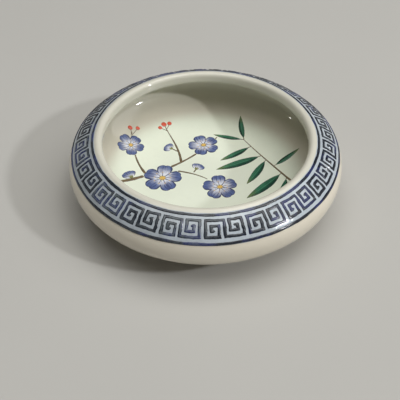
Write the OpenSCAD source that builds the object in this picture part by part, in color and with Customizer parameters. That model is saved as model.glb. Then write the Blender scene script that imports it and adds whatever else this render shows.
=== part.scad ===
// Chinese brush washer: a shallow round porcelain bowl with an in-curved shoulder and a rolled lip.
// A key fret of linked S keys runs round the shoulder between two border lines.
// Millimetres, Z up, origin on the table under the centre of the foot ring.

/* [Body] */
// Widest diameter, over the glaze
body_d = 120; // [110:1:135]
// Height from the table to the crest of the lip
body_h = 33; // [31.5:0.5:37]
// Clear diameter of the mouth inside the lip
mouth_d = 89; // [84:1:92]
// Wall thickness with both coats of glaze
wall_t = 3.6; // [3:0.1:4.4]
// Radius of the shoulder arc in section
shoulder_r = 28; // [24:0.5:32]
// Radius of the tight arc round the widest point
belly_r = 9.7; // [8:0.1:11]
// Tilt from upright at which the shoulder arc hands over to the belly arc
shoulder_turn = 42.5; // [42:0.5:46]
// Extra radius of the rolled lip beyond half the wall
lip_roll = 0.15; // [0.1:0.05:0.4]
// Height of the upright inner face of the lip
lip_face = 1.6; // [0.8:0.1:2]
// Rise of the slanted seam that joins shoulder and bowl
seam_rise = 1.2; // [0:0.1:2]

/* [Foot] */
// Height of the flat underside above the table
foot_h = 3.4; // [2.5:0.1:4.2]
// Diameter of the foot ring
foot_d = 73; // [66:1:78]
// Width of the foot ring where it joins the bowl
foot_w = 3.6; // [2.8:0.1:5]
// Bevel on both edges of the bearing face
foot_bevel = 0.8; // [0.4:0.1:1]
// Height of the bare strip beside the bearing face
bare_h = 1; // [0.9:0.1:1.5]

/* [Coats] */
// Thickness of the clear glaze
glaze_t = 0.3; // [0.2:0.05:0.5]
// Thickness of the pale wash under the fret
wash_t = 0.1; // [0.08:0.01:0.15]
// Thickness of the raised dark enamel on the shoulder
enamel_t = 0.25; // [0.15:0.05:0.4]
// Thickness of the enamel painting on the floor
paint_t = 0.15; // [0.1:0.05:0.3]

/* [Key fret] */
// Number of linked S keys round the shoulder
key_count = 20; // [16:1:24]
// Height of the keys along the shoulder arc
key_h = 7.65; // [7:0.05:8]
// Width of a stroke of the keys
stroke_w = 1.4; // [1.1:0.05:1.5]
// Width of each border line
line_w = 1.45; // [0.8:0.05:1.6]
// Strip between a border line and the grid of the keys
line_gap = 1.15; // [0.9:0.05:1.5]
// White strip between the end of the lip and the inner line
lip_gap = 0.2; // [0.2:0.05:0.5]
// Overhang of the pale wash past each line
wash_edge = 0.1; // [0.05:0.05:0.15]
// Direction of one gap between two keys
fret_turn = -91; // [-180:1:180]

/* [Painting] */
// Diameter of the largest blossom
blossom_d = 18; // [14:0.5:20]
// Length of the longest leaf
leaf_l = 28; // [22:0.5:30]
// Width of the longest leaf
leaf_w = 5.4; // [4:0.1:6]
// Diameter of the largest berry
berry_d = 2.6; // [2:0.1:3]
// Width of the main twig at its root
twig_w = 2.2; // [1.4:0.1:2.6]

/* [Hidden] */
$fn = 96;
far = 2 * body_d;
// Amount by which neighbouring arcs of the outline cross, so that they never only touch
arc_lap = 0.02;
// Centres of the arcs, from the widest point upward
belly_x = body_d / 2 - belly_r;
shoulder_x = belly_x + (belly_r - shoulder_r - arc_lap) * sin(shoulder_turn);
shoulder_dz = (belly_r - shoulder_r - arc_lap) * cos(shoulder_turn);
// The lip is two round beads, a little thicker than the wall, with an upright face between them
lip_r = wall_t / 2 + lip_roll;
lip_x = mouth_d / 2 + lip_r;
lip_turn = asin((lip_x - shoulder_x) / (shoulder_r - wall_t / 2));
lip_dz = shoulder_dz + (shoulder_r - wall_t / 2) * cos(lip_turn);
belly_z = body_h - lip_dz - lip_r;
shoulder_z = belly_z + shoulder_dz;
lip_z = belly_z + lip_dz;
lip_foot_x = shoulder_x - shoulder_dz * tan(lip_turn);
// Place on the bead at which it meets the outside of the shoulder
lip_bow = acos((pow(shoulder_r, 2) - pow(shoulder_r - wall_t / 2, 2) - pow(lip_r, 2))
    / (2 * shoulder_r - wall_t) / lip_r);
// The foot ring stands outside the flat base
foot_out = foot_d / 2;
foot_in = foot_out - foot_w;
floor_z = foot_h - glaze_t + wall_t;
// The lower wall's arc runs from the belly arc to the edge of the flat base
lower_x = foot_in;
lower_dx = belly_x - lower_x;
lower_drop = belly_z - foot_h + glaze_t + arc_lap;
lower_r = (pow(lower_dx, 2) + pow(lower_drop, 2) - pow(belly_r - arc_lap, 2)) / 2
    / (lower_drop - belly_r + arc_lap);
lower_z = belly_z - lower_drop + lower_r;
lower_turn = atan2(lower_dx, belly_z - lower_z);
// Rows of the band, measured along the shoulder from the lip's centre
arc_deg = 180 / PI;
shoulder_run = (shoulder_turn - lip_turn) / arc_deg * shoulder_r;
lip_end_s = asin(lip_r * sin(lip_bow) / shoulder_r) / arc_deg * shoulder_r;
inner_line_s = lip_end_s + lip_gap;
key_s = inner_line_s + line_w + line_gap;
outer_line_s = key_s + key_h + line_gap;
// Grid of one key: 14 squares round the shoulder, 7 along it
key_cols = 14;
key_rows = 7;
col_turn = 360 / key_count / key_cols;
row_s = key_h / key_rows;
key_path = [[2.5, 2.5], [2.5, 4.5], [4.5, 4.5], [4.5, 0.5], [0.5, 0.5], [0.5, 6.5], [6.5, 6.5],
    [6.5, 0.5], [12.5, 0.5], [12.5, 6.5], [8.5, 6.5], [8.5, 2.5], [10.5, 2.5], [10.5, 4.5]];
// Painting: places are shares of the mouth's radius, sizes are shares of the largest piece of a kind
paint_r = mouth_d / 2;
paint_top = belly_z - wall_t;
// Blossoms as place, size and turn
blossoms = [[-0.44, 0, 1, 10], [-0.02, 0.53, 0.83, 40], [-0.8, 0.49, 0.72, 62], [0.15, -0.13, 0.89, 25]];
// Leaves as place of the root, size and turn
leaves = [[0.769, 0.062, 0.8, 225], [0.828, -0.012, 0.7, 255], [0.568, 0.345, 0.8, 205],
    [0.626, 0.268, 0.65, 240], [0.736, 0.21, 0.5, 35], [0.391, 0.628, 0.5, 165], [0.417, 0.65, 0.5, 95],
    [0.466, 0.493, 0.6, 215]];
// Berries as place and size
berries = [[-0.46, 0.84, 1], [-0.4, 0.86, 0.85], [-0.5, 0.79, 0.77], [-0.82, 0.71, 0.85],
    [-0.74, 0.73, 0.77]];
// Twigs as the control points of a cubic curve; the first is the thick one
twigs = [[[-1.02, -0.13], [-0.62, 0.04], [-0.22, 0.13], [0.13, 0.67]],
    [[-0.604, 0.044], [-0.69, 0.18], [-0.76, 0.31], [-0.8, 0.67]],
    [[-0.254, 0.246], [-0.27, 0.42], [-0.34, 0.6], [-0.44, 0.8]],
    [[-0.427, 0.133], [-0.27, 0.11], [-0.1, 0.08], [0.03, -0.02]],
    [[0.98, -0.22], [0.8, 0.1], [0.62, 0.3], [0.42, 0.62]]];

// Tilt of the shoulder at a run along it from the lip's centre
function tilt(s) = s < shoulder_run ? lip_turn + s / shoulder_r * arc_deg
    : shoulder_turn + (s - shoulder_run) / belly_r * arc_deg;
// Distance of that place from the axis
function reach(s) = s < shoulder_run ? shoulder_x + shoulder_r * sin(tilt(s))
    : belly_x + belly_r * sin(tilt(s));

// Point in section at a run along the shoulder and an offset from the glazed outside
function on_band(s, t) = let (a = tilt(s), d = [sin(a), cos(a)])
    s < shoulder_run ? [shoulder_x, shoulder_z] + (shoulder_r + t) * d
    : [belly_x, belly_z] + (belly_r + t) * d;

// Whole inside of the outline in section, moved outward by t
module filled(t) {
    intersection() {
        union() {
            difference() {
                intersection() {
                    translate([shoulder_x, shoulder_z])
                        circle(shoulder_r + t);
                    translate([lower_x, lower_z])
                        circle(lower_r + t);
                }
                difference() {
                    translate([belly_x, belly_z])
                        polygon([[0, 0], far * [sin(shoulder_turn), cos(shoulder_turn)], [2 * far, 0],
                            far * [sin(lower_turn), cos(lower_turn)]]);
                    translate([belly_x, belly_z])
                        circle(belly_r + t);
                }
            }
            square([lower_x + arc_lap, belly_z]);
        }
        translate([0, foot_h - glaze_t - t])
            square([far, far]);
    }
}

// Wall with its lip in section, each face moved inward by g
module section(g) {
    difference() {
        filled(-g);
        filled(g - wall_t);
        polygon([[lip_foot_x, belly_z], [lip_foot_x + far * tan(lip_turn), belly_z + far], [0, belly_z + far],
            [0, belly_z]]);
    }
    translate([lip_x, lip_z])
        circle(lip_r - g);
    translate([lip_x, lip_z - lip_face])
        circle(lip_r - g);
    translate([lip_x - lip_r + g + arc_lap / 4, lip_z - lip_face])
        square([lip_r - g, lip_face]);
}

// Everything on the inner side of the wall's middle and of the lip's crest
module inner_side() {
    filled(-wall_t / 2);
    translate([lip_x - 2 * lip_r, lip_z - lip_r / 2])
        square([2 * lip_r, 2 * lip_r]);
}

// Side of the slanted seam that the bowl keeps
module below_seam() {
    polygon([[0, 0], [far, 0], [far, belly_z - seam_rise], [body_d / 2, belly_z],
        [body_d / 2 - wall_t, belly_z + seam_rise], [0, belly_z + seam_rise]]);
}

// Coat on the shoulder between two offsets and two runs
module band(t0, t1, s0, s1) {
    intersection() {
        difference() {
            filled(t1);
            filled(t0);
        }
        polygon([on_band(s0, -wall_t), on_band(s0, wall_t), on_band(s1, wall_t), on_band(s1, -wall_t)]);
    }
}

module bowl() {
    color([0.86, 0.84, 0.78])
        rotate_extrude()
            intersection() {
                section(glaze_t);
                below_seam();
            }
}

module shoulder() {
    color([0.86, 0.84, 0.78])
        rotate_extrude()
            difference() {
                section(glaze_t);
                below_seam();
            }
}

module foot_ring() {
    color([0.8, 0.74, 0.64])
        rotate_extrude()
            difference() {
                polygon([[foot_in, floor_z], [foot_in, foot_bevel], [foot_in + foot_bevel, 0],
                    [foot_out - foot_bevel, 0], [foot_out, foot_bevel], [foot_out, floor_z]]);
                filled(-glaze_t);
            }
}

module outer_glaze() {
    color([0.9, 0.9, 0.86])
        rotate_extrude()
            difference() {
                union() {
                    section(0);
                    translate([foot_in, bare_h])
                        square([foot_w + glaze_t, foot_h - bare_h]);
                }
                section(glaze_t);
                inner_side();
                square([foot_out, floor_z]);
            }
}

module inner_glaze() {
    color([0.87, 0.9, 0.84])
        rotate_extrude()
            intersection() {
                difference() {
                    section(0);
                    section(glaze_t);
                }
                inner_side();
            }
}

module base_glaze() {
    color([0.9, 0.9, 0.86])
        rotate_extrude()
            polygon([[0, foot_h - glaze_t], [0, foot_h], [foot_in, foot_h], [foot_in, bare_h],
                [foot_in - glaze_t, bare_h], [foot_in - glaze_t, foot_h - glaze_t]]);
}

module band_wash() {
    color([0.68, 0.72, 0.78])
        rotate_extrude()
            band(0, wash_t, inner_line_s - wash_edge, outer_line_s + line_w + wash_edge);
}

// Raised ring of enamel on the wash, from run s to s + line_w
module border_line(s) {
    color([0.16, 0.2, 0.38])
        rotate_extrude()
            band(wash_t, wash_t + enamel_t, s, s + line_w);
}

// Unit step between two points of the key's path, and its left-hand normal
function step_of(a, b) = (b - a) / norm(b - a);
function left_of(d) = [-d[1], d[0]];

// One edge of the stroke along the path, with squared ends
function edge(p, w) = let (n = len(p) - 1) [for (i = [0:n])
    let (d0 = step_of(p[max(i - 1, 0)], p[max(i, 1)]), d1 = step_of(p[min(i, n - 1)], p[min(i + 1, n)]))
    i == 0 ? p[0] - d1 * abs(w) + left_of(d1) * w
    : i == n ? p[n] + d0 * abs(w) + left_of(d0) * w
    : p[i] + (left_of(d0) + left_of(d1)) * w];

// Closed outline of the stroke, with a point at every second grid square so that it bends round the shoulder
function outline(p, w) = let (left = edge(p, w), right = edge(p, -w), n = len(p) - 1,
    loop = concat(left, [for (i = [n:-1:0]) right[i]]), m = len(loop))
    [for (i = [0:m - 1]) let (a = loop[i], b = loop[(i + 1) % m], k = max(1, round(abs(b[0] - a[0]) / 2)))
        for (j = [0:k - 1]) a + (b - a) * j / k];

// Grid squares laid on the shoulder, columns clockwise seen from above
function on_shoulder(q) = let (r = reach(key_s + q[1] * row_s), a = fret_turn - (q[0] + 0.5) * col_turn)
    r * [cos(a), sin(a)];

module key_fret() {
    key = [for (q = outline(key_path, stroke_w / row_s / 2)) on_shoulder(q)];
    color([0.16, 0.2, 0.38])
        intersection() {
            rotate_extrude()
                band(wash_t, wash_t + enamel_t, key_s - line_gap / 2, key_s + key_h + line_gap / 2);
            translate([0, 0, belly_z])
                linear_extrude(body_h - belly_z)
                    for (i = [0:key_count - 1])
                        rotate(-i * 360 / key_count)
                            polygon(key);
        }
}

// Thin layer of enamel on the floor and the lower wall, cut to the outlines given to it
module painted() {
    intersection() {
        rotate_extrude()
            difference() {
                filled(-wall_t);
                filled(-wall_t - paint_t);
                translate([0, paint_top])
                    square(far);
            }
        translate([0, 0, foot_h])
            linear_extrude(belly_z - foot_h)
                children();
    }
}

// Point on a cubic curve with four control points
function bezier(c, u) = c[0] * pow(1 - u, 3) + c[1] * 3 * u * pow(1 - u, 2)
    + c[2] * 3 * u * u * (1 - u) + c[3] * pow(u, 3);

// Twig that thins from its root to its tip
module twig(c, w) {
    steps = 10;
    side = [for (i = [0:steps]) let (u = i / steps, a = bezier(c, u), d = step_of(a, bezier(c, u + 0.01)))
        left_of(d) * w * (1 - 0.75 * u) / 2];
    polygon(concat([for (i = [0:steps]) bezier(c, i / steps) + side[i]],
        [for (i = [steps:-1:0]) bezier(c, i / steps) - side[i]]));
}

// Leaf of two arcs, pointed at both ends
module leaf(l, w) {
    bow = (l * l / 4 + w * w / 4) / w;
    intersection() {
        translate([l / 2, bow - w / 2])
            circle(bow);
        translate([l / 2, w / 2 - bow])
            circle(bow);
    }
}

module twig_enamel() {
    color([0.4, 0.38, 0.26])
        painted()
            difference() {
                for (i = [0:len(twigs) - 1])
                    twig(paint_r * twigs[i], i == 0 ? twig_w : twig_w * 0.6);
                for (b = blossoms)
                    translate(paint_r * [b[0], b[1]])
                        circle(d = blossom_d * b[2]);
            }
}

module petal_enamel() {
    color([0.3, 0.38, 0.66])
        painted()
            for (b = blossoms)
                translate(paint_r * [b[0], b[1]])
                    for (k = [0:4])
                        rotate(b[3] + k * 72)
                            translate([blossom_d * b[2] * 0.315, 0])
                                circle(d = blossom_d * b[2] * 0.36);
}

module pollen_enamel() {
    color([0.78, 0.6, 0.24])
        painted()
            for (b = blossoms)
                translate(paint_r * [b[0], b[1]])
                    circle(d = blossom_d * b[2] * 0.2);
}

module leaf_enamel() {
    color([0.2, 0.44, 0.34])
        painted()
            for (f = leaves)
                translate(paint_r * [f[0], f[1]])
                    rotate(f[3])
                        leaf(leaf_l * f[2], leaf_w * f[2]);
}

module berry_enamel() {
    color([0.74, 0.26, 0.18])
        painted()
            for (b = berries)
                translate(paint_r * [b[0], b[1]])
                    circle(d = berry_d * b[2]);
}

bowl();
shoulder();
foot_ring();
outer_glaze();
inner_glaze();
base_glaze();
band_wash();
border_line(inner_line_s);  // inner_line
border_line(outer_line_s);  // outer_line
key_fret();
twig_enamel();
petal_enamel();
pollen_enamel();
leaf_enamel();
berry_enamel();
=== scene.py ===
"""Looks of a round porcelain brush washer, laid over its CAD frame as a Blender add-on."""

from functools import partial
from math import acos, asin, atan2, cos, dist, exp, hypot, pi, radians, sin, sqrt

import bmesh
import bpy
from bpy.props import FloatProperty, FloatVectorProperty, IntProperty, PointerProperty
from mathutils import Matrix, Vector, noise


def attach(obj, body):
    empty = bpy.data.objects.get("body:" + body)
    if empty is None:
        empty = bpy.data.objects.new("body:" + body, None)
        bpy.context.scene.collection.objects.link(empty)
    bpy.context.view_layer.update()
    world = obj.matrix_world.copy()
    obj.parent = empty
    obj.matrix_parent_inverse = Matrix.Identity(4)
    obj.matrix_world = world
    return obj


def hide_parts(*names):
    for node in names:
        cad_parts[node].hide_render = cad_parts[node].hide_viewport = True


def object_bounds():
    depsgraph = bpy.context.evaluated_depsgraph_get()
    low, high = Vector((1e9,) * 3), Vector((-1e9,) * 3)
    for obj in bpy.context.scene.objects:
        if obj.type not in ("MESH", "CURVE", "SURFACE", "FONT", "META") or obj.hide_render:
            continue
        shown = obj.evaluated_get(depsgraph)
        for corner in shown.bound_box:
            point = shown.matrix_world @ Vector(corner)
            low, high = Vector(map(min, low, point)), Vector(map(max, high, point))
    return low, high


bl_info = {
    "name": "Brush Washer",
    "version": (1, 0, 0),
    "blender": (4, 5, 0),
    "location": "3D View > Sidebar > Washer",
    "description": "Dresses a porcelain brush washer with glaze, a key fret and enamel sprigs",
    "category": "Object",
}

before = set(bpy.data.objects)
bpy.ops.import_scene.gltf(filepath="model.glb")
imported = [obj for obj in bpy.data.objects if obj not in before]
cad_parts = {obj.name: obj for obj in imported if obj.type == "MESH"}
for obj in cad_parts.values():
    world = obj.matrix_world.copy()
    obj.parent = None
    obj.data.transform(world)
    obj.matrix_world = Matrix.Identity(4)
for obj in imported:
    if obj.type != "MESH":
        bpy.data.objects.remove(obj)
CAD_BOX = [[float(v) for v in corner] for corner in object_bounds()]
MM = 0.001
TINY, ON_AXIS = 1e-9, 1e-7

# Section of the body: spacing and rounding of its points, and the bend or run that keeps one
POINT_STEP, ROUNDING = 0.08 * MM, 4
KEPT_BEND, KEPT_RUN = 0.06, 1.4 * MM
# Roundings of the glaze beside the foot ring, outside and inside
FOOT_FILLET, BASE_FILLET = 0.9 * MM, 1.0 * MM
# Steps round the axis
GLAZE_TURNS, FOOT_TURNS, BELT_TURNS, FLOOR_TURNS = 288, 192, 480, 96
# Edges that bend more than this stay sharp
SHARP = radians(50)
# How far a coat of enamel reaches into what it lies on
SINK = 0.03 * MM
# How far the edges of the wash and the lines stray
BELT_WAVER = 0.0002
# Section of a raised stroke: the higher, the flatter its top
STROKE_DOME, WASH_DOME = 2.6, 40.0
# Share of a brush stroke's width that comes and goes, and how often in a millimetre
STROKE_WAVER, STROKE_PACE = 0.22, 0.45

IRON, RUST, PETAL_WHITE = (0.16, 0.11, 0.07, 1.0), (0.42, 0.2, 0.09, 1.0), (0.74, 0.76, 0.84, 1.0)
WARM = (1.0, 0.985, 0.95)
# Lamps: name, place, diameter, watts, colour
LAMPS = [("window", (1.87, -0.834, 1.434), 0.17, 20.5, (0.98, 0.985, 1.0)),
         ("ceiling", (0, 0, 2.4), 2.4, 32, WARM),
         ("ceiling_right", (1.4, 0, 2.4), 2.4, 27, WARM),
         ("left_wall", (-2.2, 0, 0.9), 1.2, 0.8, WARM),
         ("spot", (-2.62, 0.23, 2.4), 0.08, 0.6, (1.0, 0.985, 0.96))]
LAMP_AIM = (0, 0, 0.02)
ROOM_COLOUR, ROOM_LIGHT = (0.97, 0.98, 1.0, 1.0), 0.02
# Floor of the stage: radius of its flat part, radius of the sweep at its edge, thickness
STAGE_FLAT, STAGE_SWEEP, STAGE_T = 2, 1, 0.05
# Camera: place, turns in degrees, width of the sensor and length of the lens in millimetres
CAMERA_AT, CAMERA_TURN = (0, -0.2426143, 0.2290352), (45.761339, 0.103536, 0.471462)
SENSOR, LENS, NEAREST = 36.0, 64.8, 0.01


def length(name, text, default):
    """A size in metres for the panel."""
    return FloatProperty(name=name, description=text, default=default, min=0.0, precision=5,
                         unit="LENGTH")


def angle(name, text, degrees):
    """An angle for the panel."""
    return FloatProperty(name=name, description=text, default=radians(degrees), unit="ROTATION")


def tint(name, text, *levels):
    """A colour for the panel, given as it looks on a screen: red, green and blue up to 255."""
    linear = [((v / 255 + 0.055) / 1.055) ** 2.4 if v > 10 else v / 255 / 12.92 for v in levels]
    return FloatVectorProperty(name=name, description=text, default=linear, size=3, min=0, max=1,
                               subtype="COLOR")


class WasherBody(bpy.types.PropertyGroup):
    """Sizes of the fired body and its clear glaze."""

    body_d: length("Width", "Widest diameter over the glaze",
                   round(CAD_BOX[1][0] - CAD_BOX[0][0], 3))
    body_h: length("Height", "From the table to the crest of the lip", round(CAD_BOX[1][2], 4))
    mouth_d: length("Mouth", "Clear diameter inside the lip", 0.089)
    wall_t: length("Wall", "Wall with both coats of glaze", 0.0036)
    shoulder_r: length("Shoulder arc", "Radius of the shoulder in section", 0.028)
    belly_r: length("Belly arc", "Radius of the section round the widest point", 0.0097)
    shoulder_turn: angle("Shoulder end", "Tilt at which the shoulder hands over to the belly", 42.5)
    lip_roll: length("Lip roll", "Extra radius of the rolled lip", 0.00015)
    lip_face: length("Lip face", "Upright stretch of the lip's inner face", 0.0016)
    foot_h: length("Foot height", "Underside above the table", 0.0034)
    foot_d: length("Foot diameter", "Outside of the foot ring", 0.073)
    foot_w: length("Foot width", "Width of the foot ring", 0.0036)
    foot_round: length("Foot rounding", "Rounding of the worn bearing edges", 0.0008)
    bare_h: length("Bare strip", "Height of the unglazed strip", 0.001)
    glaze_t: length("Glaze", "Thickness of the clear glaze", 0.0003)


class WasherBand(bpy.types.PropertyGroup):
    """Sizes of the painted band on the shoulder."""

    key_count: IntProperty(name="Keys", description="Linked S keys round the shoulder",
                           default=20, min=8, max=40)
    key_h: length("Key height", "Height of the keys' grid along the shoulder", 0.00765)
    stroke_w: length("Stroke", "Width of a stroke of the keys", 0.00122)
    line_w: length("Line", "Width of a border line", 0.00145)
    line_inset: length("Line inset", "Part of a line's width left pale on the lip's side", 0.0003)
    line_gap: length("Gap", "Strip between a line and the keys' grid", 0.00115)
    lip_gap: length("Lip gap", "White strip beside the lip", 0.0002)
    wash_edge: length("Wash edge", "Pale wash past each line", 0.0001)
    wash_t: length("Wash thickness", "Thickness of the pale wash", 0.0001)
    enamel_t: length("Enamel thickness", "Height of the raised enamel", 0.00025)
    waver: length("Waver", "How far a hand-drawn stroke strays", 0.00019)
    start: angle("First gap", "Direction of one gap between keys", -91)
    seed: IntProperty(name="Seed", description="Seed of the hand-drawn waver", default=4)


class WasherPainting(bpy.types.PropertyGroup):
    """Sizes of the enamel sprigs inside."""

    blossom_d: length("Blossom", "Diameter of the largest blossom", 0.018)
    leaf_l: length("Leaf", "Length of the longest leaf", 0.028)
    leaf_w: length("Leaf width", "Width of the longest leaf", 0.0054)
    berry_d: length("Berry", "Diameter of the largest berry", 0.0026)
    twig_w: length("Twig", "Width of the main twig at its root", 0.0022)
    paint_t: length("Paint", "Thickness of the painted enamel", 0.00015)
    seed: IntProperty(name="Seed", description="Seed of the brush's unevenness", default=11)


class WasherColours(bpy.types.PropertyGroup):
    """Colours of the finishes and of the floor."""

    ivory: tint("Ivory glaze", "Clear glaze over the outside", 224, 217, 201)
    # Painted shade: the lip's glaze is greyer and darker than the ivory, and also tints the upper
    # wall of the well.
    lip: tint("Lip glaze", "Clear glaze where it thins over the lip", 217, 215, 202)
    # Painted shade and painted reflection: the low wall of the well is darker and warmer than its
    # floor.
    wall: tint("Wall glaze", "Clear glaze low on the wall of the well", 210, 205, 190)
    well: tint("Well glaze", "Clear glaze pooled on the floor of the well", 232, 238, 222)
    biscuit: tint("Biscuit", "Bare fired body", 214, 201, 178)
    wash: tint("Pale wash", "Thin blue wash under the fret", 178, 187, 195)
    navy: tint("Navy enamel", "Pooled enamel at the edges of a stroke", 21, 25, 38)
    cobalt: tint("Cobalt enamel", "Blue patches of the enamel", 36, 44, 94)
    steel: tint("Grey enamel", "Worn crest of a stroke", 108, 118, 122)
    petal: tint("Petal", "Blue of the blossoms", 94, 110, 156)
    petal_deep: tint("Petal edge", "Ink of the petals' edges, veins and stamens", 52, 57, 98)
    leaf: tint("Leaf", "Green of the leaves", 62, 122, 94)
    leaf_dark: tint("Leaf shade", "Dark green of the leaves", 26, 60, 50)
    olive: tint("Olive", "Leaf tips and buds' cups", 120, 124, 74)
    twig: tint("Twig", "Brown of the twigs and stalks", 108, 92, 70)
    berry: tint("Berry", "Red of the berries", 206, 84, 62)
    pollen: tint("Pollen", "Ochre of the blossoms' hearts", 206, 170, 92)
    floor: tint("Floor", "Pale floor", 189, 188, 184)


class Outline:
    """The washer's section as arcs: distance from the axis, and height above the table."""

    def __init__(self, b):
        self.b = b
        gap = b.belly_r - b.shoulder_r
        middle = b.shoulder_r - b.wall_t / 2
        self.turn = b.shoulder_turn
        self.belly_x = b.body_d / 2 - b.belly_r
        self.shoulder_x = self.belly_x + gap * sin(self.turn)
        self.lip_r = b.wall_t / 2 + b.lip_roll
        self.lip_x = b.mouth_d / 2 + self.lip_r
        self.lip_z = b.body_h - self.lip_r
        self.lip_turn = asin((self.lip_x - self.shoulder_x) / middle)
        self.shoulder_z = self.lip_z - middle * cos(self.lip_turn)
        self.belly_z = self.shoulder_z - gap * cos(self.turn)
        self.base_z = b.foot_h - b.glaze_t
        self.floor_z = self.base_z + b.wall_t
        self.foot_out = b.foot_d / 2
        self.foot_in = self.foot_out - b.foot_w
        dx = self.belly_x - self.foot_in
        drop = self.belly_z - self.base_z
        self.lower_r = (dx**2 + drop**2 - b.belly_r**2) / 2 / (drop - b.belly_r)
        self.lower_z = self.base_z + self.lower_r
        self.lower_turn = atan2(dx, self.belly_z - self.lower_z)
        self.run = (self.turn - self.lip_turn) * b.shoulder_r
        # Turns at which the lip's bead and the shoulder's arc meet, and the run to there
        apart = b.shoulder_r**2 - middle**2 - self.lip_r**2
        self.bead_out = acos(apart / (2 * middle * self.lip_r))
        self.leave = asin(self.lip_r * sin(self.bead_out) / b.shoulder_r)
        self.lip_end = self.leave * b.shoulder_r

    def on_shoulder(self, s, way, lift):
        """Point at a run s from the lip's centre, in that direction, lifted from the glaze."""
        if s < self.run:
            x, z, r = self.shoulder_x, self.shoulder_z, self.b.shoulder_r
            a = self.lip_turn + s / r
        else:
            x, z, r = self.belly_x, self.belly_z, self.b.belly_r
            a = self.turn + (s - self.run) / r
        x += (r + lift) * sin(a)
        return x * cos(way), x * sin(way), z + (r + lift) * cos(a)

    def skin(self):
        """Glazed surface from the middle of the floor over the lip to its edge on the foot."""
        b = self.b
        path = []

        def arc(x, z, r, a0, a1):
            n = max(2, int(abs(a1 - a0) * r / POINT_STEP))
            for i in range(n + 1):
                a = a0 + (a1 - a0) * i / n
                path.append((x + r * sin(a), z + r * cos(a)))

        def line(r0, z0, r1, z1):
            n = max(2, int(hypot(r1 - r0, z1 - z0) / POINT_STEP))
            path.extend((r0 + (r1 - r0) * i / n, z0 + (z1 - z0) * i / n) for i in range(n + 1))

        inside = b.shoulder_r - b.wall_t
        low = self.lip_z - b.lip_face
        dx, dz = self.lip_x - self.shoulder_x, low - self.shoulder_z
        apart = hypot(dx, dz)
        spare = inside**2 + apart**2 - self.lip_r**2
        meet = atan2(dx, dz) + acos(spare / (2 * inside * apart))
        bead = atan2(inside * sin(meet) - dx, inside * cos(meet) - dz)
        line(0, self.floor_z, self.foot_in, self.floor_z)
        arc(self.foot_in, self.lower_z, self.lower_r - b.wall_t, pi, self.lower_turn)
        arc(self.belly_x, self.belly_z, b.belly_r - b.wall_t, self.lower_turn, self.turn)
        arc(self.shoulder_x, self.shoulder_z, inside, self.turn, meet)
        arc(self.lip_x, low, self.lip_r, bead, 1.5 * pi)
        line(self.lip_x - self.lip_r, low, self.lip_x - self.lip_r, self.lip_z)
        crest_end = self.lip_turn + self.bead_out + 2 * pi
        arc(self.lip_x, self.lip_z, self.lip_r, 1.5 * pi, crest_end)
        arc(self.shoulder_x, self.shoulder_z, b.shoulder_r, self.lip_turn + self.leave, self.turn)
        arc(self.belly_x, self.belly_z, b.belly_r, self.turn, self.lower_turn)
        side = self.foot_out + b.glaze_t
        stop = pi - asin((side + FOOT_FILLET - self.foot_in) / self.lower_r)
        arc(self.foot_in, self.lower_z, self.lower_r, self.lower_turn, stop)
        z = path[-1][1]
        arc(side + FOOT_FILLET, z - FOOT_FILLET, FOOT_FILLET, 2 * pi, 1.5 * pi)
        line(side, z - FOOT_FILLET, side, b.bare_h + b.glaze_t)
        arc(self.foot_out, b.bare_h + b.glaze_t, b.glaze_t, 0.5 * pi, pi)
        return thin_out(soften(path, ROUNDING))


def soften(path, width):
    """The path with its kinks rounded over that many points, ends kept."""
    reach = range(-3 * width, 3 * width + 1)
    taps = [exp(-((k / width) ** 2) / 2) for k in reach]
    total = sum(taps)
    last = len(path) - 1
    out = []
    for i in range(last + 1):
        near = [path[min(max(i + k, 0), last)] for k in reach]
        out.append(tuple(sum(w * p[c] for w, p in zip(taps, near)) / total for c in (0, 1)))
    out[0], out[last] = path[0], path[last]
    return out


def thin_out(path):
    """Only the points that the path's bends need, and its highest one."""
    top = max(range(len(path)), key=lambda i: path[i][1])
    kept = [path[0]]
    heading, run = None, 0.0
    for i in range(1, len(path)):
        a, b = path[i - 1], path[i]
        step = dist(a, b)
        if step < TINY:
            continue
        way = atan2(b[1] - a[1], b[0] - a[0])
        heading = way if heading is None else heading
        run += step
        bend = abs((way - heading + pi) % (2 * pi) - pi)
        if bend > KEPT_BEND or run > KEPT_RUN or i in (top, len(path) - 1):
            kept.append(b)
            heading, run = way, 0.0
    return kept


def headings(path):
    """Direction of a path at each of its points, as unit vectors."""
    out = []
    for i in range(len(path)):
        a, b = path[max(i - 1, 0)], path[min(i + 1, len(path) - 1)]
        out.append(tuple((b[c] - a[c]) / dist(a, b) for c in (0, 1)))
    return out


def moved_in(path, depth):
    """The path moved to its right-hand side, away from the open surface."""
    return [(max(x + dz * depth, 0.0), z - dx * depth)
            for (x, z), (dx, dz) in zip(path, headings(path))]


def new_piece(name, verts, faces, attributes=None):
    """A mesh object at the origin, smooth, its faces outward and none of them without area."""
    mesh = bpy.data.meshes.new(name)
    faces = [list(dict.fromkeys(face)) for face in faces]
    mesh.from_pydata(verts, [], [face for face in faces if len(face) > 2])
    for key, values in (attributes or {}).items():
        mesh.attributes.new(key, "FLOAT", "POINT").data.foreach_set("value", values)
    bm = bmesh.new()
    bm.from_mesh(mesh)
    if bm.calc_volume(signed=True) < 0:
        bmesh.ops.reverse_faces(bm, faces=bm.faces[:])
    bm.to_mesh(mesh)
    bm.free()
    mesh.shade_smooth()
    mesh.set_sharp_from_angle(angle=SHARP)
    piece = bpy.data.objects.new(name, mesh)
    bpy.context.scene.collection.objects.link(piece)
    return piece


def joined(rings, closed=True):
    """Faces between each ring of points and the next, and from the last to the first if closed."""
    faces = []
    for i in range(len(rings) if closed else len(rings) - 1):
        ring, after = rings[i], rings[(i + 1) % len(rings)]
        for k in range(len(ring)):
            m = (k + 1) % len(ring)
            faces.append((ring[k], ring[m], after[m], after[k]))
    return faces


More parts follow.
